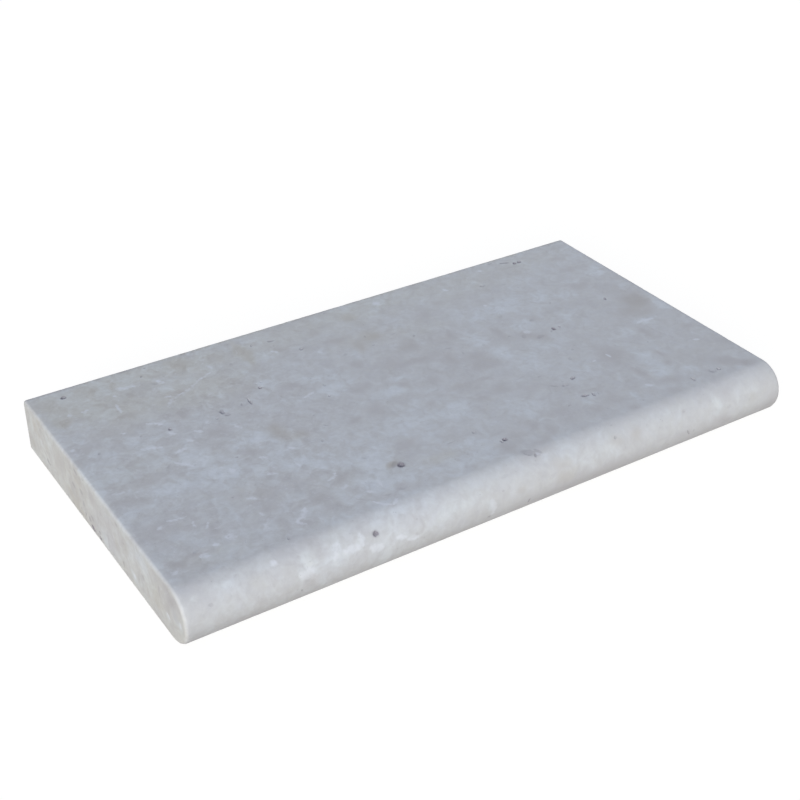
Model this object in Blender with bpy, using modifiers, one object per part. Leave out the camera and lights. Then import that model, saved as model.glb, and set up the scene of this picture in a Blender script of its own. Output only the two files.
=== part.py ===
"""Travertine coping stone for the rim of a pool, with a full bullnose along one long edge.

The stone lies on its bed. X runs along the rim, the nose looks towards -Y, and +Z is up.
The origin is under the middle of the stone, at the level of the bed. Lengths are in metres.
"""

import math

import bmesh
import bpy
from mathutils import Matrix, Vector

# Overall size of the stone
LENGTH = 0.610
WIDTH = 0.330
THICKNESS = 0.052

# Bullnose. It is drawn back further below its foremost line than above it.
NOSE_UPPER_RISE = 0.0255
NOSE_UPPER_DEPTH = 0.0256
NOSE_LOWER_DEPTH = 0.0285

# The rubbed arris round both ends and along the back joint
ARRIS_RADIUS = 0.003
ARRIS_SEGMENTS = 6
ARRIS_ANGLE = math.radians(40)

# Fineness of the curves
NOSE_STEPS = 22
PIT_SEGMENTS = 20
PIT_RINGS = 12
QUARTER_HANDLE = 0.5523
FLAT_ANGLE = math.radians(0.5)
MERGE_DISTANCE = 0.00001

# Open pores in the tread that are wide enough to catch a fingertip: the place along the
# stone and across it, as shares of the half length and the half width, then the pore's
# length, breadth and depth in metres and its turn from the stone's length in degrees
TREAD_PITS = (
    (-0.248, -0.613, 0.0074, 0.0070, 0.0030, 0),
    (-0.260, -0.582, 0.0080, 0.0056, 0.0008, -45),
    (-0.894, 0.902, 0.0048, 0.0046, 0.0022, 0),
    (-0.703, 0.309, 0.0050, 0.0038, 0.0020, 80),
    (-0.445, 0.325, 0.0110, 0.0026, 0.0018, 83),
    (-0.539, 0.311, 0.0060, 0.0037, 0.0018, 80),
    (-0.384, 0.420, 0.0042, 0.0040, 0.0016, 0),
    (-0.168, 0.664, 0.0050, 0.0036, 0.0018, 45),
    (-0.226, 0.838, 0.0060, 0.0026, 0.0014, -10),
    (-0.607, -0.108, 0.0034, 0.0030, 0.0014, 0),
    (0.063, -0.710, 0.0048, 0.0048, 0.0020, 0),
    (0.743, 0.877, 0.0048, 0.0036, 0.0018, 45),
    (0.763, 0.877, 0.0052, 0.0042, 0.0020, 45),
    (0.840, 0.197, 0.0042, 0.0030, 0.0016, 60),
    (0.572, 0.073, 0.0056, 0.0040, 0.0020, 80),
    (0.596, 0.074, 0.0034, 0.0030, 0.0012, 80),
    (0.432, -0.424, 0.0054, 0.0038, 0.0018, 25),
    (0.402, -0.604, 0.0080, 0.0036, 0.0016, -15),
    (0.427, -0.616, 0.0056, 0.0026, 0.0014, 80),
    (0.842, -0.786, 0.0046, 0.0046, 0.0018, 0),
    (0.817, -0.783, 0.0085, 0.0080, 0.0008, 0),
    (0.734, -0.793, 0.0064, 0.0030, 0.0014, 85),
)

# Pores in the nose: the place along the stone as a share of the half length, how far round
# the upper half of the nose it lies in degrees from the tread, then the same four sizes
NOSE_PITS = (
    (0.093, 16, 0.0120, 0.0100, 0.0014, -25),
    (-0.448, 49, 0.0066, 0.0056, 0.0024, 0),
)

# Pores in the left end, just above its lower arris: the place across the stone as a share
# of the half width, the height above the bed in metres, then the same four sizes
END_PITS = (
    (0.087, 0.0050, 0.0052, 0.0030, 0.0018, 10),
    (0.000, 0.0048, 0.0042, 0.0026, 0.0014, 10),
)

STONE_COLOR = (0.571, 0.565, 0.545, 1.0)
STONE_ROUGHNESS = 0.62


def clear_scene():
    for item in list(bpy.data.objects):
        bpy.data.objects.remove(item, do_unlink=True)


def new_collection(name):
    collection = bpy.data.collections.new(name)
    bpy.context.scene.collection.children.link(collection)
    return collection


def stone_material():
    material = bpy.data.materials.new("travertine")
    material.use_nodes = True
    shader = material.node_tree.nodes["Principled BSDF"]
    shader.inputs["Base Color"].default_value = STONE_COLOR
    shader.inputs["Roughness"].default_value = STONE_ROUGHNESS
    shader.inputs["Metallic"].default_value = 0.0
    material.diffuse_color = STONE_COLOR
    return material


def section_curve():
    """The stone's cross-section, drawn across the stone (x) and upwards (y)."""
    back = WIDTH / 2
    front = -WIDTH / 2
    nose_height = THICKNESS - NOSE_UPPER_RISE
    upper_start = front + NOSE_UPPER_DEPTH
    lower_start = front + NOSE_LOWER_DEPTH
    upper_pull = QUARTER_HANDLE * NOSE_UPPER_DEPTH
    lower_pull = QUARTER_HANDLE * NOSE_LOWER_DEPTH
    rise_pull = QUARTER_HANDLE * NOSE_UPPER_RISE
    drop_pull = QUARTER_HANDLE * nose_height

    corners = (
        # point, handle before it, handle after it, kinds of the two handles
        ((back, 0), (back, 0), (back, 0), "VECTOR", "VECTOR"),
        ((back, THICKNESS), (back, THICKNESS), (back, THICKNESS), "VECTOR", "VECTOR"),
        ((upper_start, THICKNESS), (back, THICKNESS), (upper_start - upper_pull, THICKNESS),
         "VECTOR", "FREE"),
        ((front, nose_height), (front, nose_height + rise_pull),
         (front, nose_height - drop_pull), "FREE", "FREE"),
        ((lower_start, 0), (lower_start - lower_pull, 0), (back, 0), "FREE", "VECTOR"),
    )

    curve = bpy.data.curves.new("section", "CURVE")
    curve.dimensions = "2D"
    curve.fill_mode = "BOTH"
    curve.extrude = LENGTH / 2
    curve.resolution_u = NOSE_STEPS
    spline = curve.splines.new("BEZIER")
    spline.bezier_points.add(len(corners) - 1)
    spline.use_cyclic_u = True
    for point, (place, before, after, kind_before, kind_after) in zip(
            spline.bezier_points, corners):
        point.handle_left_type = kind_before
        point.handle_right_type = kind_after
        point.co = (place[0], place[1], 0)
        point.handle_left = (before[0], before[1], 0)
        point.handle_right = (after[0], after[1], 0)
    return curve


def sawn_block(collection):
    """The section run out along X, as one closed mesh with whole end faces."""
    guide = bpy.data.objects.new("section_guide", section_curve())
    collection.objects.link(guide)
    # across becomes Y, upwards becomes Z, and the run becomes X
    guide.matrix_world = Matrix(((0, 0, 1, 0), (1, 0, 0, 0), (0, 1, 0, 0), (0, 0, 0, 1)))
    bpy.context.view_layer.update()

    mesh = bpy.data.meshes.new_from_object(guide)
    mesh.transform(guide.matrix_world)
    bpy.data.objects.remove(guide, do_unlink=True)

    solid = bmesh.new()
    solid.from_mesh(mesh)
    bmesh.ops.remove_doubles(solid, verts=solid.verts, dist=MERGE_DISTANCE)
    bmesh.ops.dissolve_limit(solid, angle_limit=FLAT_ANGLE, verts=solid.verts,
                             edges=solid.edges)
    bmesh.ops.recalc_face_normals(solid, faces=solid.faces)
    solid.to_mesh(mesh)
    solid.free()

    mesh.name = "coping_stone"
    block = bpy.data.objects.new("coping_stone", mesh)
    collection.objects.link(block)
    return block


def ease_arrises(block):
    bevel = block.modifiers.new("arris", "BEVEL")
    bevel.width = ARRIS_RADIUS
    bevel.segments = ARRIS_SEGMENTS
    bevel.limit_method = "ANGLE"
    bevel.angle_limit = ARRIS_ANGLE
    bevel.miter_outer = "MITER_SHARP"
    bevel.use_clamp_overlap = True


def tread_place(along, across):
    """Point and outward normal on the tread."""
    place = Vector((along * LENGTH / 2, across * WIDTH / 2, THICKNESS))
    return place, Vector((0, 0, 1))


def nose_place(along, turn):
    """Point and outward normal on the upper half of the nose."""
    angle = math.radians(turn)
    place = Vector((
        along * LENGTH / 2,
        -WIDTH / 2 + NOSE_UPPER_DEPTH * (1 - math.sin(angle)),
        THICKNESS - NOSE_UPPER_RISE * (1 - math.cos(angle)),
    ))
    normal = Vector((0, -math.sin(angle) / NOSE_UPPER_DEPTH, math.cos(angle) / NOSE_UPPER_RISE))
    return place, normal.normalized()


def end_place(across, height):
    """Point and outward normal on the left end."""
    place = Vector((-LENGTH / 2, across * WIDTH / 2, height))
    return place, Vector((-1, 0, 0))


def pit_cutter(name, place, normal, along, sizes, collection):
    """A stretched ball centred on the surface, so that its lower half is the pore."""
    length, breadth, depth, turn = sizes
    mesh = bpy.data.meshes.new(name)
    ball = bmesh.new()
    bmesh.ops.create_uvsphere(ball, u_segments=PIT_SEGMENTS, v_segments=PIT_RINGS, radius=1.0)
    ball.to_mesh(mesh)
    ball.free()

    across = normal.cross(along)
    seat = Matrix((along, across, normal)).transposed().to_4x4()
    spin = Matrix.Rotation(math.radians(turn), 4, "Z")
    stretch = Matrix.Diagonal((length / 2, breadth / 2, depth, 1.0))
    mesh.transform(Matrix.Translation(place) @ seat @ spin @ stretch)

    cutter = bpy.data.objects.new(name, mesh)
    cutter.hide_render = True
    cutter.display_type = "WIRE"
    collection.objects.link(cutter)
    return cutter


def open_pores(block, collection):
    along_rim = Vector((1, 0, 0))
    across_end = Vector((0, 1, 0))
    for number, (along, across, *sizes) in enumerate(TREAD_PITS, start=1):
        place, normal = tread_place(along, across)
        pit_cutter(f"tread_pit_{number}", place, normal, along_rim, sizes, collection)
    for number, (along, turn_round, *sizes) in enumerate(NOSE_PITS, start=1):
        place, normal = nose_place(along, turn_round)
        pit_cutter(f"nose_pit_{number}", place, normal, along_rim, sizes, collection)
    for number, (across, height, *sizes) in enumerate(END_PITS, start=1):
        place, normal = end_place(across, height)
        pit_cutter(f"end_pit_{number}", place, normal, across_end, sizes, collection)

    cut = block.modifiers.new("pores", "BOOLEAN")
    cut.operation = "DIFFERENCE"
    cut.operand_type = "COLLECTION"
    cut.collection = collection
    cut.solver = "EXACT"
    cut.use_self = True


def main():
    clear_scene()
    parts = new_collection("pool_coping_stone")
    cutters = new_collection("cutters")

    stone = sawn_block(parts)
    stone.data.materials.append(stone_material())
    ease_arrises(stone)
    open_pores(stone, cutters)


main()
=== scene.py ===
"""Dressing and studio for a travertine pool coping stone with a full bullnose."""

import math
import random

import bmesh
import bpy
import numpy as np
from mathutils import Matrix, Vector, noise
from mathutils.geometry import delaunay_2d_cdt


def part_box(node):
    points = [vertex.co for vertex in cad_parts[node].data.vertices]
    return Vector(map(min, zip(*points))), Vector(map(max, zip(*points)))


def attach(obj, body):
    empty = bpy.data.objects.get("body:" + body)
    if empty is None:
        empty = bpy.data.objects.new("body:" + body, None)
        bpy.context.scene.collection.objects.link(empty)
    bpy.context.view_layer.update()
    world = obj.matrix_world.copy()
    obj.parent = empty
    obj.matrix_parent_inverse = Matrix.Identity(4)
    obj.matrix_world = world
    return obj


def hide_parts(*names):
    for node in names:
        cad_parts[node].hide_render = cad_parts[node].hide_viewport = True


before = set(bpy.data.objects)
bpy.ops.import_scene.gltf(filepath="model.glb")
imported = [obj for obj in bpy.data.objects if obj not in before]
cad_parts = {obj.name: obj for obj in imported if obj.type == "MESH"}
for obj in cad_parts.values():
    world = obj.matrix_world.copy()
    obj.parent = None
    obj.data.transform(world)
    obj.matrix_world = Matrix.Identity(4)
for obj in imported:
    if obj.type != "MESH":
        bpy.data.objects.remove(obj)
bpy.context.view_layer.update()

MM = 0.001

# The stone's size comes from its solid, and the shape of its section repeats the solid's.
# All lengths from here to the mesh are in millimetres.
low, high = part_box("coping_stone")
HALF_LENGTH = (high[0] - low[0]) / MM / 2
HALF_WIDTH = (high[1] - low[1]) / MM / 2
THICKNESS = (high[2] - low[2]) / MM
NOSE_RISE = 25.5
NOSE_UPPER = 25.6
NOSE_LOWER = 28.5
ARRIS = 3.0

# The tread's front edge, where the nose begins. Places on the tread and the nose are given
# as (x, y), with y carried on round the nose as if it were unrolled flat.
NOSE_START = -HALF_WIDTH + NOSE_UPPER

# Pores: x, y, length, breadth, depth, darkening by dirt and painted shade, turn in degrees.
# A row leaves out the zeros at its end, here and in the patches. The ragged rim of a pore
# goes by the number of its row.
ROW_VALUES = 7
PORES = (
    (-75.6, -101.2, 7.6, 5.8, 1.2, 0.95, 60), (-79.8, -97.6, 9, 5.4, 0.1, 0.3, 40),
    (-272.8, 148.8, 5.2, 5, 1.3, 0.8), (-214.4, 51, 4.4, 3.6, 1.2, 0.72, 80),
    (-135.7, 53.7, 10, 2.8, 1, 0.5, 83), (-164.4, 51.3, 7.4, 5, 0.6, 0.6, 80),
    (-172.5, 44.3, 3.4, 3.2, 0.4, 0.42), (-162, 45, 5.6, 4.4, 0.25, 0.36),
    (-143.8, 53, 4, 2.8, 0.4, 0.4, 80), (-117.1, 69.3, 4.2, 4, 1.2, 0.65),
    (-111.7, 77.7, 3, 2.8, 0.3, 0.26), (-116.3, 77, 3.4, 2.2, 0.3, 0.26),
    (-239.8, 54.7, 3.2, 2.4, 0.3, 0.3, 30), (-199.5, 144.7, 4, 2.4, 0.5, 0.42, 60),
    (-191, 157, 2.8, 2.6, 0.4, 0.45), (-194.2, 125.8, 8, 4, 0.12, 0.22, -35),
    (-181.5, 134.3, 2.6, 2.2, 0.12, 0.22), (-156.5, 92.2, 2.2, 2, 0.12, 0.24),
    (-173.3, 75.8, 2.6, 2.2, 0.12, 0.22), (-132.2, 97, 2.4, 2.2, 0.12, 0.22),
    (-275.5, 20.8, 2.4, 2, 0.12, 0.26), (-280.5, 49, 4.4, 3, 0.2, 0.34, 60),
    (-241, 102, 2.2, 2, 0.12, 0.2), (-120.3, 120.8, 3.8, 3.4, 0.12, 0.24),
    (-106.8, 154, 2.2, 2, 0.3, 0.34), (-108, 45.8, 2.4, 2.2, 0.12, 0.2),
    (-239, 0.8, 8, 2.8, 0.1, 0.18, 40), (-185.2, -17.8, 3.4, 3, 0.5, 0.4),
    (-112.5, -34.7, 4, 2.6, 0.4, 0.36, 75), (-97.7, -15.8, 5.2, 3.2, 0.15, 0.24, -40),
    (-214.2, -66.3, 2.8, 2.2, 0.3, 0.32), (-202.3, -137, 4, 2.8, 0.4, 0.34, 60),
    (-220, -9.2, 2.8, 2.4, 0.12, 0.24), (-270, -113.4, 6.4, 4, 0.12, 0.2, 20),
    (-239.8, -109.7, 2.8, 2.4, 0.1, 0.14), (-190, 3.3, 2.4, 2.2, 0.12, 0.2),
    (-106.7, -130.2, 7, 2.8, 0.12, 0.18, -10), (-88.3, 140.8, 4.2, 2.6, 0.5, 0.45, 60),
    (-69, 138.3, 6.6, 3.2, 0.5, 0.62, -10), (-68.7, 144.2, 2.2, 2, 0.12, 0.22),
    (-51.3, 109.5, 5.8, 4.4, 0.5, 0.4, 45), (-62.2, 100.8, 2.6, 2.2, 0.12, 0.22),
    (12, 97.5, 4.2, 2.4, 0.35, 0.3, 80), (10, 78.8, 4, 3.2, 0.15, 0.24, 20),
    (52.5, 73.5, 4, 2.8, 0.5, 0.42, 55), (-71.2, 23.7, 3.8, 2.8, 0.5, 0.42, 70),
    (-70.5, 58.8, 2.6, 2.2, 0.12, 0.22), (-54.2, 53.7, 2.8, 2.4, 0.12, 0.24),
    (-65.8, 41.7, 4.2, 3.4, 0.15, 0.28, 70), (98.7, 23.3, 4, 3.2, 0.12, 0.18),
    (66.3, 35.8, 6, 2.8, 0.12, 0.2, -10), (73.3, 21.3, 4.2, 3, 0.1, 0.18, 60),
    (37.5, 87, 4.6, 2.2, 0.12, 0.2), (-21.7, 78.3, 6, 4.4, 0.1, 0.18, 20),
    (1.7, 158, 2.6, 2.2, 0.3, 0.3, 60), (-99, 3.3, 3.4, 2.6, 0.12, 0.2),
    (-97, 65.8, 3.6, 2.6, 0.1, 0.16), (226.7, 144.7, 5.2, 4, 1.2, 0.9, 45),
    (232.6, 144.7, 5.4, 4.4, 1.2, 0.8, 45), (217.5, 151, 9.6, 3.4, 0.4, 0.6, -20),
    (204.5, 158, 6.4, 3.4, 0.4, 0.32), (236.5, 156.6, 3, 2.8, 0.12, 0.22, 60),
    (167.8, 121.3, 6.6, 4, 0.4, 0.32), (189.2, 112.5, 5, 3.2, 0.1, 0.18),
    (197, 98.3, 3.2, 2.4, 0.12, 0.2), (204.2, 55.3, 3.2, 2.4, 0.3, 0.24, 50),
    (256.3, 32.5, 4.2, 3, 1.4, 0.75, 60), (174.5, 12, 5.6, 4, 1.4, 0.9, 80),
    (181.7, 12.2, 3.6, 3, 0.7, 0.48, 80), (169.7, 9.2, 3.6, 2.6, 0.4, 0.3, 50),
    (129.2, 23.3, 3.4, 2.8, 0.3, 0.28), (145, 59.2, 6, 3.8, 0.1, 0.16),
    (166.7, 37, 6.6, 4.4, 0.12, 0.2, 30), (177.5, 33.3, 4.4, 3, 0.1, 0.16),
    (140.8, 15.6, 7.6, 5, 0.1, 0.18, 60), (154.2, 6.7, 9, 5.4, 0.12, 0.2, 20),
    (110, 64.2, 2.6, 2.2, 0.1, 0.1), (19.6, -117.3, 4.8, 4.8, 1.4, 0.9),
    (15.6, -117.6, 2.8, 5, 0.6, 0.4, -10), (3.8, -94.2, 4.8, 4.2, 0.4, 0.32),
    (100.8, -104.2, 6, 2.6, 0.3, 0.24, 25), (-21.5, -96, 10, 2.6, 0.12, 0.16, 5),
    (-95, -75.8, 7.6, 5, 0.1, 0.14), (-91.7, -129.4, 8, 4.4, 0.1, 0.18),
    (91.7, -44, 13, 2.2, 0.12, 0.14, 8), (-20, -118.3, 2.6, 2.2, 0.12, 0.2),
    (-10.8, -120, 2.6, 2.2, 0.12, 0.22), (131.7, -70, 6, 4.4, 1, 0.7, 25),
    (120.3, -69.7, 2.8, 2.6, 0.15, 0.2), (118, -76, 6.4, 3.6, 0.4, 0.36, -15),
    (109, -71, 9, 3, 0.15, 0.24, -35), (122.5, -99.7, 8.4, 4, 0.8, 0.64, -15),
    (130, -101.9, 6, 3.2, 0.5, 0.55, 80), (135, -102.6, 4.4, 1.8, 0.3, 0.34, 80),
    (164.7, -29.2, 3.4, 3, 0.3, 0.26), (152, -41.3, 5.4, 4.2, 0.12, 0.22, 60),
    (181.7, -23, 2.6, 2.2, 0.12, 0.18), (107.5, -51.3, 3.4, 3, 0.15, 0.26),
    (203.8, -45, 2.8, 2.4, 0.12, 0.16), (234.3, -56.7, 2.8, 2.6, 0.4, 0.34),
    (223.8, -130.8, 6.4, 3, 0.7, 0.4, 85), (256.7, -129.7, 4.6, 4.6, 0.9, 0.42),
    (249.2, -129.2, 8.5, 8, 0.35, 0.24), (126, -126.7, 2.8, 2.6, 0.1, 0.14),
    (161.7, -133.3, 3, 2.8, 0.12, 0.18), (25.2, -143.2, 11, 8.4, 0.15, 0.32, -35),
    # The next two pores darken the left and the lower wall of a chipped hollow in the nose: partly
    # dirt, partly painted shade on those walls
    (22.6, -144.6, 7.4, 3.4, 0.3, 0.46, -55), (28.6, -148.4, 4.8, 3.2, 0.25, 0.6, 60),
    (33.4, -145.6, 7.6, 4.2, 0.1, 0.34, -62), (-136.9, -161.2, 5.1, 4.7, 0.6, 0.95),
    (-281.7, -165.7, 4.6, 3.6, 0.12, 0.2), (-206.9, -184.6, 3.8, 2.4, 0.4, 0.34, -60),
    (-211.2, -181.6, 2.6, 2.2, 0.12, 0.2), (-14.3, -166.9, 3, 2.8, 0.12, 0.2),
    (-8.4, -156, 7.6, 3.6, 0.1, 0.12, 10), (-98.4, -162.4, 2.6, 2.4, 0.1, 0.18),
    (12.1, -187, 5.2, 2.4, 0.6, 0.6, 80), (-29.4, -187, 4, 2.6, 0.5, 0.5),
    (109, -159.6, 3.8, 3.4, 0.4, 0.34, 60), (112.3, -147.8, 3, 2.4, 0.15, 0.22),
    (145.2, -160.4, 4.6, 3.6, 0.1, 0.08, 60), (190.4, -181.4, 7, 2.4, 0.6, 0.45, -60),
    (197, -181.6, 4, 2.6, 0.12, 0.16, 80), (188, -160.4, 3.6, 2.6, 0.1, 0.14),
    (239.8, -171.4, 5.6, 4.4, 0.1, 0.14), (-136.9, -161.2, 7.6, 7, 0.05, 0.32),
    (-76, -101, 9.8, 8, 0.05, 0.24, 60), (30.4, -146.8, 8, 6, 0.05, 0.3, -50),
)

# Pores in the left end: y, height, then the same five values
END_PORES = (
    (15.2, 5.5, 6.8, 4.4, 1.8, 1, 10), (10.8, 5.3, 3.4, 2.6, 0.6, 0.6),
    (0, 5.4, 4.6, 3, 1.4, 0.9, 10), (0.4, 10.6, 4.2, 4, 0.4, 0.42),
    (114.6, 15.2, 5.2, 4.4, 0.4, 0.44, 15), (110.2, 14.2, 4, 2.8, 0.3, 0.34),
    (34, 31.6, 7.4, 5.4, 0.3, 0.3, 10), (42.8, 46.6, 8, 4, 0.2, 0.3, 20),
    (51.6, 27.6, 8, 5.4, 0.2, 0.26, 10), (20.8, 11.4, 6.4, 4.6, 0.3, 0.36, 40),
    (14.2, 16.4, 6, 5, 0.2, 0.3, 40), (-88.4, 25.4, 6.4, 5.6, 0.2, 0.16),
    (-42.6, 46.6, 6, 4.6, 0.2, 0.24), (-48.8, 11.6, 4.6, 6, 0.3, 0.3), (-8, 35, 4, 3, 0.2, 0.18),
    (-120, 34, 4, 10, 0.1, 0.16), (70.4, 5.1, 4.4, 1.6, 0.4, 0.5, 20),
    (58.3, 5.2, 5, 1.6, 0.4, 0.5, 20), (44, 5.3, 4.4, 1.6, 0.4, 0.5, 20),
    (39.6, 5.1, 4, 1.6, 0.4, 0.6), (31, 5.1, 3.6, 1.8, 0.4, 0.6, 20), (39, 11.6, 3.6, 3, 0.2, 0.3),
    (29, 11.6, 3.8, 3.4, 0.2, 0.34), (31.6, 20.4, 6, 6, 0.1, 0.26),
    (27.4, 48.6, 5, 2.8, 0.2, 0.34, 30), (55, 35.4, 6.4, 3, 0.1, 0.2, 30),
    (114.8, 24.8, 5, 3.6, 0.1, 0.24), (-54, 35.4, 3.6, 3.4, 0.1, 0.2),
)

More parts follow.
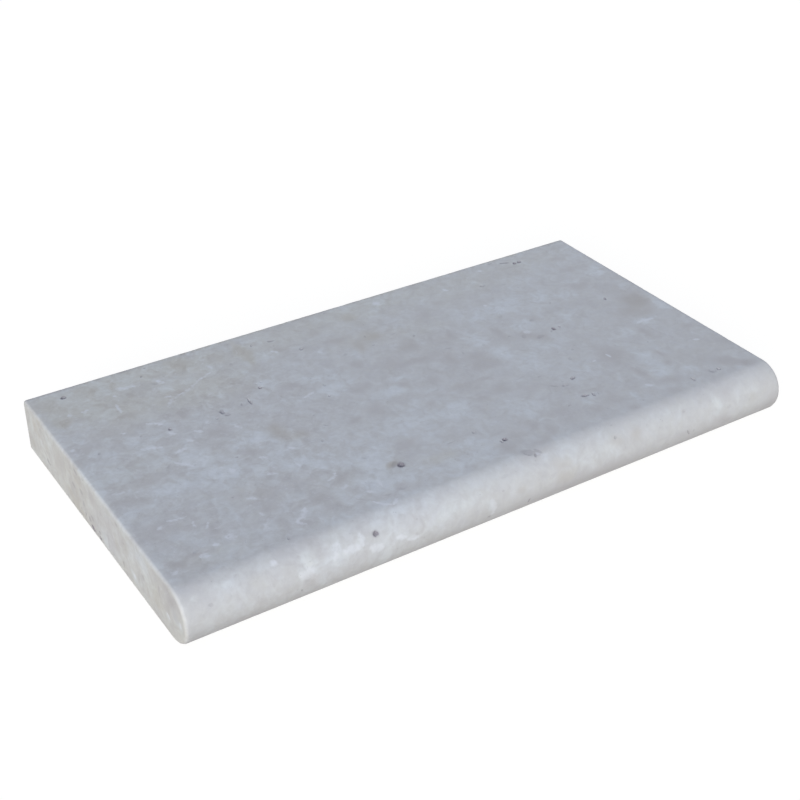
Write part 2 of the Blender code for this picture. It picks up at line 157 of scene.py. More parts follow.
# Soft patches: x, y, reach along and across, tone, ochre, turn in degrees. A tone above 0
# is paler and bluer, and one below 0 is browner and darker.
PATCHES = (
    (-212, -8, 16, 22, 1.1), (-245, -30, 26, 10, 1), (-205, -38, 16, 12, 0.8, 0, -30),
    (-163, 0, 12, 14, 1.3), (-132, -65, 10, 9, 1.2), (-150, -52, 14, 5, 0.9),
    (-143, -45, 4, 14, 0.9, 0, 10), (-190, 113, 5, 8, 1.3), (-220, 135, 12, 4, 1, 0, -20),
    (-237, 140, 4, 14, 0.6), (-138, 140, 4, 12, 0.9), (-118, 101, 5, 4, 1.2),
    (-111, 73, 6, 6, 1.3), (-153, 75, 4, 5, 1), (-267, 64, 4, 9, 0.9), (-217, 64, 8, 5, 1, 0, -40),
    (-240, 45, 16, 8, 0.4), (-88, -82, 16, 18, 1.1), (-105, -100, 14, 20, 0.9, 0, 20),
    (-125, -115, 14, 12, 0.8), (-52, 50, 18, 14, 0.9, 0, 30), (-70, 58, 14, 10, 0.8),
    (-60, 30, 20, 12, 0.8), (-38, 95, 5, 6, 0.8), (-80, 117, 11, 8, 1.1), (-79, 146, 6, 5, 0.9),
    (57, 149, 8, 8, 1.7), (49, 136, 5, 6, 1), (-13, 70, 6, 5, 0.8), (52, 62, 6, 8, 0.8),
    (-2, 16, 7, 8, 1.1), (-22, -2, 18, 6, 0.9), (97, 33, 10, 14, 1.2), (103, 2, 10, 10, 1.2),
    (-33, -45, 14, 9, 1), (-3, -57, 34, 10, 1.2, 0, 5), (17, -63, 8, 4, 0.8, 0, 20),
    (-30, -80, 12, 12, 0.8), (-10, -108, 16, 8, 0.9), (-15, -125, 22, 6, 0.9),
    (61, -83, 18, 12, 0.7), (62, -100, 8, 12, 0.7), (145, 72, 24, 11, 1.3), (203, 72, 14, 11, 1.1),
    (170, 85, 20, 8, 0.7), (225, 62, 16, 6, 0.8, 0, -15), (288, 87, 12, 7, 1.6, 0, 20),
    (250, 80, 8, 4, 0.9, 0, -30), (153, 32, 12, 12, 0.9), (199, 22, 5, 5, 1), (297, 5, 6, 22, 1.3),
    (290, 46, 7, 7, 1), (142, -8, 22, 12, 0.9), (115, -25, 14, 14, 0.7), (131, 134, 3, 4, 1.3),
    (164, 132, 3, 3, 1), (185, 150, 3, 3, 1.2), (262, -23, 13, 4, 1.7), (231, -33, 7, 9, 1),
    (212, -78, 8, 20, 1.2), (209, -103, 12, 8, 1), (233, -115, 9, 6, 1), (160, -122, 3, 5, 1.3),
    (182, -116, 6, 3, 1, 0, -30), (117, -110, 5, 6, 0.9), (150, -62, 14, 12, 0.5),
    (-200, -170, 9, 5, 1.9), (-198, -160, 9, 8, 1.1), (-174, -165, 5, 8, 1.6, 0, -20),
    (-160, -166, 10, 4, 1.9), (-150, -162, 3, 6, 1.6), (-187, -182, 2.5, 8, 1, 0, 15),
    (-138, -172, 6, 4, 1.8), (-132, -182, 6, 8, 1.2), (-115, -172, 4, 2, 2.5),
    (-105, -176, 5, 2, 2), (-107, -152, 6, 2, 1.3), (-267, -154, 6, 4, 1.3), (-293, -157, 4, 3, 1),
    (-133, -154, 4, 2.5, 1), (-27, -177, 2.5, 8, 1.3), (-68, -168, 18, 5, 0.9, 0, 8),
    (90, -164, 5, 5, 0.9), (225, -166, 6, 8, 1.6, 0, 20), (-290, 110, 8, 7, -1, 1),
    (-162, 147, 12, 8, -1.2, 1), (-198, 67, 10, 10, -1.4, 0, 20), (-183, 103, 6, 4, -1.4),
    (-240, 90, 12, 4, -1.4), (-182, 25, 12, 8, -1.3, 0, 30), (-137, -3, 7, 12, -1.6, 0.6),
    (-124, -17, 9, 8, -1.4, 0.6), (-173, -20, 9, 5, -1.2), (-188, -5, 8, 8, -0.8),
    (-250, 75, 30, 12, -0.7), (-280, 60, 18, 8, -0.8), (-290, -25, 14, 12, -0.7),
    (-258, -5, 14, 8, -0.7), (-285, -75, 20, 14, -1), (-262, -80, 12, 10, -0.7),
    (-270, -116, 16, 2, -1.6, 0, 6), (-290, -118, 8, 2.5, -1.8, 0, -20), (-288, -123, 5, 4, -1.3),
    (-245, -98, 5, 8, -1.3), (-214, -66, 14, 6, -0.9), (-190, -75, 20, 14, -0.7),
    (-193, -92, 8, 8, -0.9), (-160, -75, 10, 8, -0.9), (-197, -118, 5, 12, -1.2),
    (-155, -105, 9, 9, -1.2), (-180, -128, 6, 5, -1.3), (-154, -120, 6, 6, -1.2),
    (-128, -90, 9, 6, -1.3, 0, 30), (-127, -110, 5, 5, -1.2), (-107, -130, 6, 4, -0.8, 0, -10),
    (-102, 132, 4, 22, -0.9, 1), (-95, 57, 12, 4, -1.2), (-17, 105, 14, 6, -1.2),
    (-3, 85, 7, 12, -1.2, 0.3), (18, 95, 10, 9, -0.9, 0.4), (22, 33, 18, 7, -1.8, 0, -8),
    (0, 45, 20, 8, -0.8), (37, 58, 9, 10, -1.2), (82, 100, 9, 8, -1.1), (57, 20, 8, 11, -1.5),
    (83, 53, 6, 7, -1.3), (80, 10, 9, 8, -1.3), (45, 35, 12, 8, -0.8), (-23, 58, 8, 4, -1.2),
    (-25, 129, 5, 7, -1), (17, 137, 7, 6, -0.8, 0.5), (-38, 18, 9, 6, -1), (-4, 4, 6, 5, -1.3),
    (-50, -17, 11, 9, -1.2), (-72, -22, 7, 4, -1.6), (-23, -15, 8, 5, -0.8), (-2, -35, 8, 6, -1.3),
    (22, -24, 36, 3, -0.8, 0, -8), (63, -28, 7, 3, -1.6, 0, -30), (42, -53, 9, 6, -1.4),
    (65, -50, 10, 7, -1.3), (78, -8, 18, 9, -1), (22, -5, 9, 8, -1.1), (90, -65, 14, 8, -0.8),
    (-57, -78, 13, 7, -1.1), (-42, -110, 20, 8, -0.4, 0.5), (15, -128, 9, 7, -1.5),
    (53, -112, 5, 9, -1.2, 0, -10), (30, -115, 10, 8, -0.8), (88, -112, 11, 12, -0.9),
    (48, -134, 14, 5, -1.1), (64, -128, 4, 9, -1.2), (-92, -127, 6, 5, -1.4),
    (123, 33, 5, 14, -1.4), (108, 117, 7, 7, -1), (145, 16, 10, 6, -0.9), (154, 7, 7, 6, -1.1),
    (170, 37, 10, 5, -1), (272, 127, 7, 6, -1.1), (265, 103, 9, 7, -1.1), (253, 70, 11, 6, -1),
    (225, 40, 18, 8, -0.6), (280, 13, 15, 16, -1.9, 0.45), (258, 0, 12, 10, -1.2, 0.15),
    (272, -10, 12, 6, -1.2, 0.15), (243, -40, 5, 9, -1.4), (186, -56, 16, 14, -1.1),
    (190, -95, 3, 14, -1.3), (229, -80, 3, 10, -1.6, 0, 12), (224, -96, 5, 4, -1.6),
    (275, -124, 20, 7, -1.5, 0, -40), (288, -138, 8, 8, -1.4), (206, -118, 14, 6, -0.8),
    (195, -136, 8, 6, -1.2), (147, -138, 6, 4, -1.7), (142, -118, 10, 10, -0.9),
    (118, -122, 12, 8, -0.7), (290, -55, 12, 5, -0.8), (-242, -164, 9, 7, -0.5, 0.3),
    (-198, -178, 6, 5, -1), (47, -164, 8, 7, -1, 0.4), (50, -176, 10, 5, -0.8, 0.4),
    (2, -172, 4, 3, -0.9, 0.4), (131, -163, 7, 7, -1.3, 0.5), (109, -162, 6, 5, -1, 0.3),
    (270, -173, 9, 5, -0.6, 0.3), (238, -184, 9, 5, -1.1), (241, -158, 6, 5, -1),
    (188, -160, 2.5, 2.5, -1.5), (-275, 135, 26, 22, 0, 0.9), (-215, 150, 30, 12, 0, 0.5),
    (-150, 140, 40, 18, 0, 0.6), (-80, 130, 40, 24, 0, 0.3), (-240, 115, 60, 45, 0, 0.45),
    (-160, 95, 60, 35, 0, 0.25), (-200, 85, 20, 16, -0.5), (20, 138, 100, 26, 0.15, 0.3),
    (5, 95, 30, 20, -0.15, 0.3), (55, 150, 45, 14, 0.25), (160, 130, 45, 18, 0, 0.3),
    (240, 140, 40, 20, 0, 0.25), (202, 112, 18, 14, 0.4), (-40, 60, 26, 18, -0.3),
    (165, 58, 36, 16, 0.35), (280, 48, 22, 16, -0.4), (248, -5, 26, 15, -0.3),
    (160, 8, 26, 20, -0.2), (-265, 12, 44, 28, 0.4, 0.2), (-190, -38, 110, 20, 0.35),
    (0, -20, 45, 28, 0.3), (-100, -60, 50, 18, 0.35), (-45, -122, 55, 18, 0.55),
    (205, -70, 22, 20, -0.45), (260, -98, 44, 18, -0.45, 0.1), (180, -118, 40, 12, -0.25),
    (-250, -162, 45, 14, 0.25, -0.1), (-110, -160, 45, 18, 0.35, -0.2),
    (-100, -146, 40, 10, 0.45, -0.1), (182, -146, 22, 7, -0.7, 0.1),
    (296, -165, 12, 34, -0.6, 0.1), (150, -170, 30, 12, -0.25), (45, -156, 30, 9, 0.45, -0.1),
    (36, -144, 16, 5, -0.9), (-292, -155, 14, 18, -0.9), (-252, -146, 18, 6, 0.6),
    (-180, -146, 20, 6, -0.6), (0, -146, 20, 6, 0.6), (80, -170, 26, 10, 0.6),
    (250, -150, 50, 9, -0.35), (-215, -167, 18, 7, -0.4), (-146, -174, 18, 9, -0.7),
    (-36, -164, 18, 7, 0.5), (0, -177, 18, 7, -0.4), (-235, 149, 75, 15, 0.1, 0.28),
    (60, 150, 165, 14, 0, 0.23), (-160, 150, 26, 14, 0.3, 0.05), (285, 145, 20, 16, 0.3),
    (-160, 97, 45, 24, 0, 0.35), (-240, 100, 26, 30, 0, 0.2), (122, 112, 22, 16, -0.25, 0.15),
    (60, 84, 36, 16, 0, 0.25), (35, 56, 56, 14, -0.25, 0.1), (203, 25, 18, 14, 0.35),
    (265, 26, 38, 14, -0.35), (-200, -3, 18, 14, -0.5, 0.1), (140, 8, 30, 20, -0.4),
    (285, -20, 18, 28, -0.35), (40, -35, 18, 14, -0.35, 0.05), (-282, -50, 18, 26, 0.3),
    (-202, -66, 18, 14, -0.1, 0.2), (-138, -95, 34, 14, -0.35, 0.1),
    (-262, -125, 36, 12, -0.2, 0.25), (-200, -124, 18, 12, 0.35), (140, -146, 30, 7, -0.45),
    # These three long bands darken the underside of the nose along its length: painted shade where
    # it turns down towards the floor
    (70, -187, 80, 8, -1.3), (290, -187, 20, 8, -1.1), (200, -187, 50, 8, -0.6),
    (-178, -170, 18, 12, 0.7, -0.2), (-150, -177, 18, 7, 0.5, -0.1),
    (-80.5, -97, 6.5, 4.5, -2.6, 0.9, 30),
)

# Patches in the left end: y, height, then the same five values
END_PATCHES = (
    (-141, 38, 8, 7, -2.2, -0.2), (-115, 47, 8, 3.5, -1.6, -0.1), (-134, 48, 8, 3.5, -1.5, -0.1),
    (-120, 35, 3, 7, -0.8, -0.1), (80, 36, 12, 11, -1, 0.1), (63, 15, 6, 3, -1.5, 0.6, 10),
    (56, 9, 8, 4, -1, 0.5), (45, 20, 4, 8, -1.3, 0.7, 10), (40, 7, 13, 4, -1.1, 0.5),
    (57, 38, 4, 3, -0.8, 0.6), (41, 37, 6, 3, -1, 0.6, 20), (35, 43, 5, 3, -1, 0.5, 30),
    (10, 41, 8, 7, -1.2, -0.1), (28, 24, 10, 10, -0.6), (138, 39, 6, 7, -1, 0.4),
    (127, 48, 5, 5, -1, 0.5), (130, 33, 3, 4, -0.8, 0.4), (112, 28, 4, 5, -0.8, 0.4),
    (151, 14, 3.5, 3, -1.2, 0.7), (-55, 35, 8, 6, -0.5), (-36, 24, 9, 8, -0.9, 0.3),
    (-20, 40, 14, 8, -0.3), (-88, 25, 5, 5, -0.9, 0.1), (-101, 13, 5, 5, -0.8, 0.3),
    (-116, 18, 8, 5, -0.5, 0.4), (-109, 26, 14, 10, 0, 0.4), (-65, 32, 7, 8, 0.5, -0.1),
    (-90, 42, 13, 9, 1.3, -0.3), (-70, 14, 5, 5, 2, -0.3), (-156, 26, 4, 5, 2.2, -0.3),
    (-134, 19, 4, 4, 1.6, 0, 45), (-147, 28, 7, 7, 1.1, -0.4), (107, 41, 7, 5, 0.8, -0.1, 30),
    (98, 44, 4, 3, 0.8), (147, 34, 4, 4, 0.8, -0.2), (125, 27, 4, 4, 0.9, -0.3),
    (90, 15, 6, 4, 0.9, -0.1), (100, 9, 5, 3, 0.8), (17, 38, 3, 4, 0.9),
    (-20, 24, 34, 30, 0.1, -0.2), (-20, 14, 26, 10, 0.1, -0.3), (150, 26, 20, 30, 0.3),
    (-96, 18, 16, 14, 0.8, -0.05), (-158, 14, 12, 12, 0, 0.2), (-150, 44, 14, 6, -1, -0.1),
    (104, 22, 12, 20, 0.3, -0.1), (144, 44, 16, 7, 0.5), (95, 42, 18, 9, 0.7, -0.1),
    (-24, 38, 10, 10, -0.6), (-112, 42, 14, 7, -0.6), (-56, 30, 9, 10, -0.6, 0.2),
    (-73, 22, 9, 8, -0.9, 0.3), (15, 22, 16, 7, 0.5, -0.1), (120, 10, 10, 7, 0.5, -0.1),
    (72, 9, 9, 6, -0.4), (-50, 10, 20, 7, -0.4, 0.3), (-136, 24, 8, 8, -0.4),
    (-152, 20, 8, 8, 0.4), (-60, 26, 60, 34, 0.05, -0.2), (-72, 22, 10, 10, 0.7, -0.2),
    (-78, 42, 16, 8, 0.4, -0.3), (-104, 33, 10, 8, 0.5, -0.2), (-24, 42, 10, 6, 0.3, -0.1),
    (-144, 44, 16, 6, -0.7), (-136, 33, 10, 8, -0.5),
)

# Strokes of white calcite, and one painted highlight: x and y of one end, x and y of the other,
# breadth, strength
STROKES = (
    (-248, 36, -232, 30, 3.5, 0.8), (-228, 70, -217, 62, 3.2, 0.64),
    (-229, 138, -212, 133, 3.5, 0.4), (-190, 130, -187, 124, 3.5, 0.72),
    (-238, 113, -239, 98, 2.4, 0.4), (-143, 117, -162, 108, 2.4, 0.4),
    (-162, 108, -182, 98, 3, 0.48), (-182, 98, -200, 86, 3.5, 0.32),
    (-196, 101, -189, 98, 2.4, 0.32), (-197, 37, -193, 33, 4.1, 0.72),
    (-209, 29, -206, 25, 4.1, 0.64), (-218, 46, -214, 43, 4.9, 0.8),
    (-183, 44, -182, 42, 4.3, 0.8), (-225, 15, -216, 17, 4.6, 0.72),
    (-164, 25, -162, 20, 4.3, 0.56), (-268, 117, -263, 118, 3.5, 0.72),
    (-280, 118, -278, 117, 3.2, 0.48), (-234, 127, -233, 126, 3.2, 0.56),
    (-251, 66, -250, 66, 3, 0.72), (-140, 130, -139, 124, 3.2, 0.56),
    (-298, 65, -296, 65, 4.1, 0.48), (-232, 2, -222, -9, 3.5, 0.64),
    (-198, -32, -197, -33, 6, 1.1), (-168, -29, -165, -31, 4.1, 0.64),
    (-141, -29, -139, -31, 3.5, 0.56), (-294, -11, -285, -13, 3, 0.4),
    (-272, -67, -256, -69, 3, 0.72), (-256, -85, -255, -78, 2.2, 0.56),
    (-250, -92, -246, -85, 2.4, 0.56), (-282, -72, -280, -72, 4.1, 0.56),
    (-205, -74, -198, -79, 3.5, 0.64), (-186, -122, -172, -110, 4.6, 1),
    (-182, -128, -186, -122, 3, 0.5), (-213, -117, -204, -106, 3.2, 0.48),
    (-239, -108, -237, -112, 7.6, 0.76), (-268, -121, -264, -122, 5.6, 0.9),
    (-254, -113, -251, -114, 3.5, 0.64), (-296, -129, -292, -127, 3.5, 0.48),
    (-206, -96, -204, -100, 3, 0.48), (-148, -48, -147, -58, 2.2, 0.64),
    (-175, -53, -168, -56, 3, 0.4), (-138, -88, -128, -82, 3, 0.56),
    (-118, -118, -115, -121, 3.5, 0.72), (-104, -112, -105, -120, 2.7, 0.64),
    (-122, -132, -112, -142, 3.2, 0.72), (-110, -143, -103, -139, 3.2, 0.72),
    (-134, -104, -128, -100, 2.7, 0.48), (-91, 33, -80, 37, 3.5, 0.72),
    (-77, 121, -74, 117, 3.5, 0.64), (-40, 96, -38, 94, 4.1, 0.56), (55, 149, 58, 147, 5.4, 0.8),
    (145, 86, 146, 85, 4.1, 0.8), (130, 136, 132, 132, 3.2, 0.72), (185, 150, 186, 149, 3.5, 0.8),
    (147, 22, 150, 20, 5.4, 0.64), (185.8, -53, 185.9, -59, 2.7, 1.04),
    (275, -77, 279, -79, 3.5, 0.8), (167, -57, 170, -56, 3, 0.72),
    (181, -115, 184, -118, 4.1, 0.72), (252, -22, 269, -24, 4.1, 0.64),
    # The first stroke here is a painted highlight on the lit wall of a chipped hollow in the nose,
    # not calcite
    (30.6, -147.6, 32.2, -148, 3.5, 0.96), (-225, -153.6, -223.6, -153.6, 5.4, 0.9),
    (-206, -170, -196, -170, 7.5, 0.5), (-176, -169, -171, -158, 6, 0.42),
    (-166, -165.5, -154, -166.5, 6.4, 0.5), (-150, -166, -150, -158, 5.3, 0.4),
    (-119, -171, -112, -173, 4.4, 0.8), (-109, -176, -101, -177, 4.4, 0.6),
    (-143, -171, -134, -173, 6.4, 0.45), (-27, -171, -26, -184, 4.4, 0.3),
)

# Strokes in the left end: y and height of one end, of the other, breadth, strength
END_STROKES = (
    (-70.2, 14.6, -71.4, 14.2, 4.3, 1.08), (-155.6, 27, -156.4, 24.6, 4.1, 0.99),
    (-131.8, 20.4, -135.6, 18, 3.4, 0.72),
)

# Pores scattered by chance on the sides that the photograph hides: their seeds, how many
# they are, and how far they keep off the edges of their side
BED_SEED = 11
BACK_SEED = 23
RIGHT_SEED = 37
BED_REAR_PORES = 70
BED_FRONT_PORES = 50
BACK_PORES = 26
RIGHT_PORES = 18
SIDE_MARGIN = 10
BED_MARGIN = 8
BACK_MARGIN = 5
NOSE_MARGIN = 25
RIGHT_MARGIN = 9

# The sawn faces are painted a little warmer and darker than the honed tread and nose: painted
# light, the warmer and dimmer light that falls on the upright end face.
SAWN_PAINTED_SHADE = -0.13
SAWN_PAINTED_WARMTH = 0.5

# How strongly the patches show, how they fall off from their middle, and the size from
# which on they are pushed out of shape by the whole warp
PATCH_STRENGTH = 1.1
PATCH_FALL = 1.1
PATCH_POWER = 1.3
WARPED_SIZE = 8

# What is taken off the pores' sizes, which look larger in the photograph than they are
# because of the soft dark rim round them, and the least size that is left
PORE_BLUR = 0.9
LEAST_PORE = 1

# How much ochre goes with the tone, which takes the blue out of it: the mottles on the
# tread are pale blue and brown, and those on the nose and the left end nearly grey
TREAD_GREYING = 0.14
NOSE_GREYING = 0.28

# How much weaker the patches on the nose are than the rest
NOSE_PATCHES = 0.84

# How far the dirt and painted shade of a pore spread out over its rim
DIRT_AND_SHADE_SPREAD = 0.9

# Where the rings of mesh points round a pore lie, as shares of the way out to its rim, how
# closely their points follow each other, how many a ring has at least and at most, and the
# share of the rim's girth that the innermost rings are counted by
RING_SHARES = (0.3, 0.58, 0.8, 0.92, 0.99, 1.05, 1.2, 1.55)
RING_SPACING = 0.5
RING_LEAST = 8
RING_MOST = 36
INNER_GIRTH = 0.4

# How closely the mesh points along a stroke follow each other, and how close together any
# two points of the marks may be
STROKE_SPACING = 0.8
MARK_SPACING = 0.16

# The form of a pore: the curve of its floor, how gentle its wall is where it is not darkened,
# how much steeper it is with dirt and painted shade, and the height and breadth of the worn
# lip round it
FLOOR_POWER = 2.4
UNDARKENED_WALL = 2.2
DIRT_AND_SHADE_STEEPENING = 1.3
LIP_HEIGHT = 0.05
LIP_BREADTH = 0.12

# The mesh round the marks: how far they make the cells of the grid fine, the squares in
# which they replace its corners, and the spacing of the plain parts of an end face
WINDOW_MARGIN = 0.9
CLEAR_CELL = 1.1
CAP_SPACING = 3.4

# Wear: how deep the surface's waviness is, with its layers as strength, size and seed, how
# far the largest part of a normal is below 1 on a full edge, and what is worn off an edge
WAVINESS = 0.09
WAVES = (0.05, 38, 4), (0.03, 11, 5)
FULL_EDGE = 0.29
EDGE_WEAR = 0.05
NIBBLES = 0.9
NIBBLE_SIZE = 5.5
NIBBLE_START = 0.18

# Where the flecks and the fine mottling are lively: in full near the left end, from where
# they fade out along the tread down to the least share, and more weakly on the nose
LEAST_LIVELY = 0.35
LIVELY_END = -40
LIVELY_FADE = 90
NOSE_LIVELY = 0.5
NOSE_FADE_START = NOSE_START + 4
NOSE_FADE = 8

ARC = math.pi / 2 * ARRIS
FLAT_END = HALF_LENGTH - ARRIS
NOSE_DROP = THICKNESS - NOSE_RISE
BED_FRONT = -HALF_WIDTH + NOSE_LOWER
BACK = HALF_WIDTH - ARRIS
ARC_STEPS = 5
RUN_STEPS = 200


def straight(y0, z0, y1, z1):
    """A flat stretch of the section: its length, and its places and normals by share."""
    length = math.hypot(y1 - y0, z1 - z0)
    ny, nz = -(z1 - z0) / length, (y1 - y0) / length

    def place(share):
        one = np.ones_like(share)
        return y0 + (y1 - y0) * share, z0 + (z1 - z0) * share, ny * one, nz * one
    return length, place


def bend(yc, zc, ry, rz, first, last):
    """A quarter of an oval between two angles, counted from +y towards up."""
    def place(share):
        angle = np.radians(first + (last - first) * share)
        ny, nz = np.cos(angle) / ry, np.sin(angle) / rz
        size = np.hypot(ny, nz)
        return yc + ry * np.cos(angle), zc + rz * np.sin(angle), ny / size, nz / size
    return math.pi / 2 * (ry + rz) / 2, place


# The section as a loop that starts in the middle of the bed and runs forward, up round the
# nose, back over the tread and down the back: steps, length and places of each stretch
STRETCHES = [(steps, *stretch) for steps, stretch in (
    (22, straight(0, 0, BED_FRONT, 0)),
    (22, bend(BED_FRONT, NOSE_DROP, NOSE_LOWER, NOSE_DROP, 270, 180)),
    (24, bend(NOSE_START, NOSE_DROP, NOSE_UPPER, NOSE_RISE, 180, 90)),
    (100, straight(NOSE_START, THICKNESS, BACK, THICKNESS)),
    (ARC_STEPS, bend(BACK, THICKNESS - ARRIS, ARRIS, ARRIS, 90, 0)),
    (15, straight(HALF_WIDTH, THICKNESS - ARRIS, HALF_WIDTH, ARRIS)),
    (ARC_STEPS, bend(BACK, ARRIS, ARRIS, ARRIS, 0, -90)),
    (26, straight(BACK, 0, 0, 0)),
)]
LOWER_NOSE = 1
TREAD = 3
BACK_FACE = 5
BED_REAR = 7
starts = np.concatenate([[0], np.cumsum([length for _, length, _ in STRETCHES])])
LOOP_LENGTH = starts[-1]
loop_marks = np.concatenate([
    start + length * np.arange(steps) / steps
    for start, (steps, length, _) in zip(starts, STRETCHES)] + [[LOOP_LENGTH]])
LOOPS = len(loop_marks) - 1
# Marks along the stone: even on the flat, and finer round the arris of each end
arc_marks = ARC * np.arange(1, ARC_STEPS + 1) / ARC_STEPS
run_marks = np.concatenate([
    -FLAT_END - arc_marks[::-1],
    np.linspace(-FLAT_END, FLAT_END, RUN_STEPS + 1),
    FLAT_END + arc_marks])
RUNS = len(run_marks)


def section(s):
    """Place and outward normal (y, height, ny, nz) at s along the loop."""
    found = np.zeros((4, len(s)))
    stretch = np.clip(np.searchsorted(starts, s, side="right") - 1, 0, len(STRETCHES) - 1)
    for number, (_, length, place) in enumerate(STRETCHES):
        here = stretch == number
        found[:, here] = place((s[here] - starts[number]) / length)
    return found


def surface(a, s):
    """Points and outward normals for places on the unrolled stone."""
    y, z, ny, nz = section(s)
    over = np.clip(abs(a) - FLAT_END, 0, ARC) / ARRIS
    inset = ARRIS * (1 - np.cos(over))
    x = np.sign(a) * (np.minimum(abs(a), FLAT_END) + ARRIS * np.sin(over))
    points = np.stack([x, y - inset * ny, z - inset * nz], 1)
    normals = np.stack([np.sign(a) * np.sin(over), np.cos(over) * ny, np.cos(over) * nz], 1)
    return points, normals


def noise_at(points, size, seed):
    """Smooth noise between about -1 and 1 with features of the given size."""
    shift = Vector((seed * 17.31, seed * 5.77, seed * 11.13))
    return np.array([noise.noise(Vector(p) / size + shift) for p in points])


def layered(base, points, *layers):
    """The base with layers of noise added, each given by its strength, size and seed."""
    total = base
    for strength, size, seed in layers:
        total = total + strength * noise_at(points, size, seed)
    return total


def turned(x, y, turn):
    """A place seen from axes that are turned by so many degrees."""
    c, s = math.cos(math.radians(turn)), math.sin(math.radians(turn))
    return x * c + y * s, -x * s + y * c


def rim_reach(directions, number):
    """How far a pore's ragged rim lies out in each direction, where 1 is a plain oval."""
    around = np.concatenate([directions, np.full((len(directions), 1), number * 3.7)], 1)
    return layered(1, around, (0.30, 1.1, 1), (0.14, 0.45, 2))


def pore_points(rows):
    """Rings of points inside and round each pore, which its steep wall is modelled on."""
    points = []
    for number, (cx, cy, length, breadth, _, _, turn) in enumerate(rows):
        girth = math.pi * (length + breadth) / 2
        for share in RING_SHARES:
            count = round(girth * max(share, INNER_GIRTH) / RING_SPACING)
            count = max(RING_LEAST, min(RING_MOST, count))
            turns = np.arange(count) * 2 * math.pi / count
            ring = np.stack([np.cos(turns), np.sin(turns)], 1)
            u, v = (ring * rim_reach(ring, number)[:, None] * share).T
            dx, dy = turned(u * length / 2, v * breadth / 2, -turn)
            points += zip(cx + dx, cy + dy)
        points.append((cx, cy))
    return points


def stroke_path(row, number):
    """A stroke's slightly bent middle line, as points with the breadth at each."""
    x0, y0, x1, y1, breadth, _ = row
    length = math.hypot(x1 - x0, y1 - y0)
    share = np.linspace(0, 1, 3 + round(length / 2.5))
    arch = np.sin(math.pi * share)

    def wander(offset, size, seed):
        line = np.stack([share * length, 0 * share, 0 * share + number * offset], 1)
        return noise_at(line, size, seed)
    bow = 0.08 * length * math.sin(number * 2.4) * arch
    aside = bow + 0.7 * wander(9.1, 6, 1) * min(1, length / 8)
    ux, uy = (x1 - x0) / length, (y1 - y0) / length
    x = x0 + share * (x1 - x0) - uy * aside
    y = y0 + share * (y1 - y0) + ux * aside
    return np.stack([x, y, breadth * (0.75 + 0.45 * arch + 0.35 * wander(4.3, 4, 2))], 1)


def stroke_points(rows):
    """Points along each stroke: on its middle line, at its edges and as far again outside."""
    points = []
    for number, row in enumerate(rows):
        path = stroke_path(row, number)
        before = 2 * path[0] - path[1]
        after = 2 * path[-1] - path[-2]
        path = np.concatenate([[before], path, [after]])
        for (x0, y0, b0), (x1, y1, b1) in zip(path[:-1], path[1:]):
            length = math.hypot(x1 - x0, y1 - y0)
            ux, uy = (x1 - x0) / length, (y1 - y0) / length
            steps = max(2, round(length / STROKE_SPACING))
            for k in range(steps + 1):
                x, y = x0 + (x1 - x0) * k / steps, y0 + (y1 - y0) * k / steps
                half = (b0 + (b1 - b0) * k / steps) / 2
                for across in (-2 * half, -half, 0, half, 2 * half):
                    points.append((x - uy * across, y + ux * across))
    return points


def thin_out(points, spacing):
    """Drop each point that lies closer than the spacing to one kept before it."""
    kept = []
    cells = {}
    for x, y in points:
        i, j = math.floor(x / spacing), math.floor(y / spacing)
        near = [cells[i + a, j + b] for a in (-1, 0, 1) for b in (-1, 0, 1)
                if (i + a, j + b) in cells]
        if all(math.hypot(px - x, py - y) >= spacing for px, py in near):
            cells[i, j] = (x, y)
            kept.append((x, y))
    return kept


def mark_points(pores, strokes):
    """The mesh points that the pores and strokes of a side ask for."""
    return thin_out(pore_points(pores) + stroke_points(strokes), MARK_SPACING)


def pore_relief(x, y, rows):
    """Depth of the pores and how dark they are from dirt and painted shade, at places in a flat
    plane.
    """
    depth = np.zeros(len(x))
    dirt_and_shade = np.zeros(len(x))
    for number, (cx, cy, length, breadth, deep, stain_and_shade, turn) in enumerate(rows):
        reach = 0.7 * max(length, breadth) + 2 * DIRT_AND_SHADE_SPREAD
        near = np.nonzero((abs(x - cx) < reach) & (abs(y - cy) < reach))[0]
        if not len(near):
            continue
        u, v = turned(x[near] - cx, y[near] - cy, turn)
        u, v = u / (length / 2), v / (breadth / 2)
        out = np.maximum(np.hypot(u, v), 1e-6)
        share = out / rim_reach(np.stack([u / out, v / out], 1), number)
        wall = UNDARKENED_WALL - DIRT_AND_SHADE_STEEPENING * stain_and_shade
        inside = (1 - np.minimum(share, 1) ** FLOOR_POWER) ** wall
        floor = layered(1, np.stack([u, v, np.full(len(u), number)], 1), (0.3, 0.5, 3))
        lip = LIP_HEIGHT * deep * np.exp(-np.clip(share - 1, 0, None) / LIP_BREADTH)
        depth[near] = np.maximum(depth[near], deep * inside * floor + lip)
        # the dirt and painted shade fade out over the rim, by a set breadth or by a share of the
        # pore's own
        fade = max(2 * DIRT_AND_SHADE_SPREAD / math.sqrt(length * breadth), 0.7 * (1 - stain_and_shade), 0.6)
        level = np.clip((0.95 + (0.6 + 0.4 * stain_and_shade) * fade - share) / fade, 0, 1)
        dirt_and_shade[near] = np.maximum(dirt_and_shade[near], stain_and_shade * level * level * (3 - 2 * level))
    return depth, dirt_and_shade


